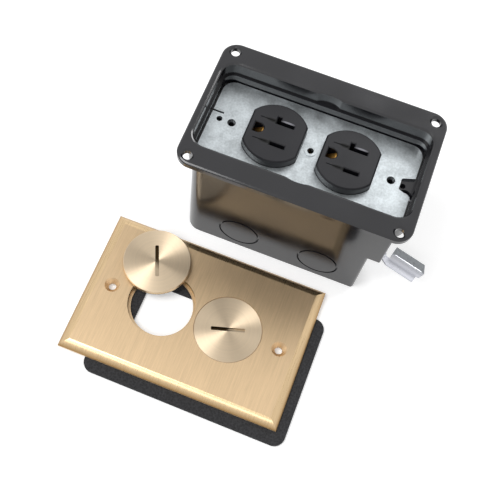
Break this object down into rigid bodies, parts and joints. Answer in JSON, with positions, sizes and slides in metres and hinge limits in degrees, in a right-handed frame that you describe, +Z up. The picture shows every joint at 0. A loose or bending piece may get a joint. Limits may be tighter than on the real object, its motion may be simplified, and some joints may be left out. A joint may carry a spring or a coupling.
{
  "type": "floor socket box",
  "caption": "Recessed floor box with a duplex receptacle and a swing clamp, laid out beside its gasket and brass cover plate with screw-in plugs.",
  "frame": {"origin": "underside of the box, below the middle of the receptacle", "axes": "+X along the receptacle towards the clamp, +Z up out of the floor, the plate and gasket lie on the -Y side"},
  "size_m": [0.1678, 0.1636, 0.088],
  "materials": {
    "moulded_black": "satin black moulded box",
    "device_black": "semi-matt black receptacle mouldings",
    "zinc_strap": "zinc-plated steel strap",
    "contact_brass": "spring brass",
    "screw_brass": "brass terminal screws",
    "green_steel": "green earth screw",
    "bright_steel": "plain plated steel",
    "clamp_zinc": "zinc-plated pressed steel",
    "gasket_foam": "closed-cell foam, charcoal",
    "plate_brass": "brushed brass",
    "plug_brass": "turned brass",
    "seal_rubber": "black rubber ring"
  },
  "bodies": {
    "box": {"box_body": "moulded_black", "mounting_strap": "zinc_strap", "centre_eyelet": "zinc_strap", "receptacle_face": "device_black", "receptacle_base": "device_black", "neutral_contact": "contact_brass", "hot_contact": "contact_brass", "neutral_screws": "bright_steel", "hot_screws": "screw_brass", "ground_contact": "contact_brass", "ground_screw": "green_steel", "body_rivets": "bright_steel"},
    "clamp_screw": {"clamp_screw": "bright_steel", "clamp_retainer": "bright_steel"},
    "clamp_nut": {"clamp_nut": "bright_steel"},
    "clamp_arm": {"clamp_arm": "clamp_zinc"},
    "gasket": {"gasket": "gasket_foam"},
    "cover_plate": {"cover_plate": "plate_brass"},
    "plug_right_seal": {"plug_right_seal": "seal_rubber"},
    "plug_right": {"plug_right": "plug_brass"},
    "plug_left_seal": {"plug_left_seal": "seal_rubber"},
    "plug_left": {"plug_left": "plug_brass"}
  },
  "joints": [
    {"name": "clamp_screw_turn", "type": "hinge", "parent": "box", "child": "clamp_screw", "pos_m": [0.0504, -0.0052, 0.0699], "axis": [0, 0, -1], "range_deg": [0, 18142]},
    {"name": "clamp_climb", "type": "slide", "parent": "box", "child": "clamp_nut", "axis": [0, 0, 1], "range_m": [0, 0.04]},
    {"name": "clamp_arm_swing", "type": "hinge", "parent": "clamp_nut", "child": "clamp_arm", "pos_m": [0.0504, -0.0052, 0.0154], "axis": [0, 0, 1], "range_deg": [-6, 104.5]},
    {"name": "gasket_lift", "type": "slide", "parent": "box", "child": "gasket", "axis": [0, 0, 1], "range_m": [0, 0.09]},
    {"name": "plate_lift", "type": "slide", "parent": "gasket", "child": "cover_plate", "axis": [0, -0.0995, 0.995], "range_m": [0, 0.09]},
    {"name": "plug_right_turn", "type": "hinge", "parent": "plug_right_seal", "child": "plug_right", "pos_m": [-0.00885, -0.078, 0.003], "axis": [0, 0, 1], "range_deg": [0, 900]},
    {"name": "plug_right_rise", "type": "slide", "parent": "cover_plate", "child": "plug_right_seal", "axis": [0, 0, 1], "range_m": [0, 0.00318]},
    {"name": "plug_left_shift", "type": "slide", "parent": "cover_plate", "child": "plug_left_seal", "axis": [0.4821, -0.8761, 0], "range_m": [0, 0.02385]},
    {"name": "plug_left_turn", "type": "hinge", "parent": "plug_left_seal", "child": "plug_left", "pos_m": [-0.05845, -0.0571, 0.0065], "axis": [0, 0, 1], "continuous": true}
  ],
  "couplings": [
    {"joint": "clamp_screw_turn", "follows": "clamp_climb", "rad_per_m": 7915.8},
    {"joint": "plug_right_rise", "follows": "plug_right_turn", "m_per_rad": 0.00020213}
  ]
}
